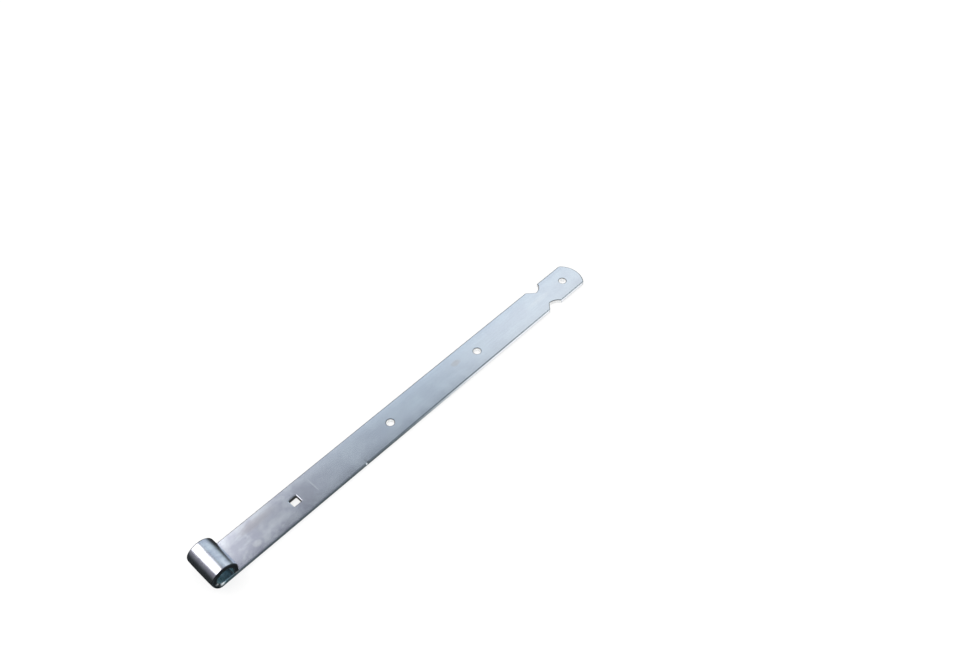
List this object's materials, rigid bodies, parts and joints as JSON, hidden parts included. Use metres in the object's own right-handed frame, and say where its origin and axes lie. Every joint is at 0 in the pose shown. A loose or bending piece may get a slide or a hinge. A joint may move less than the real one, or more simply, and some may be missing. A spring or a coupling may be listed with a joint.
{
  "type": "gate hinge band",
  "caption": "Long flat steel hinge band, rolled at one end into an open eye that drops over a pintle, with a square bolt hole, round fixing holes and a notched, round-ended tip.",
  "frame": {"origin": "on the eye's axis, halfway across the band, where the pintle's centre line runs", "axes": "+X along the band from the eye to the tip, +Y along the eye's axis, +Z out of the front face, the side that the eye is rolled up on; the band lies on its back face"},
  "size_m": [0.5, 0.0381, 0.0264],
  "materials": {
    "zinc_plated_steel": "satin bright zinc plating with a faint blue-white cast, softly mottled"
  },
  "bodies": {
    "root": {"strap": "zinc_plated_steel"}
  },
  "joints": []
}
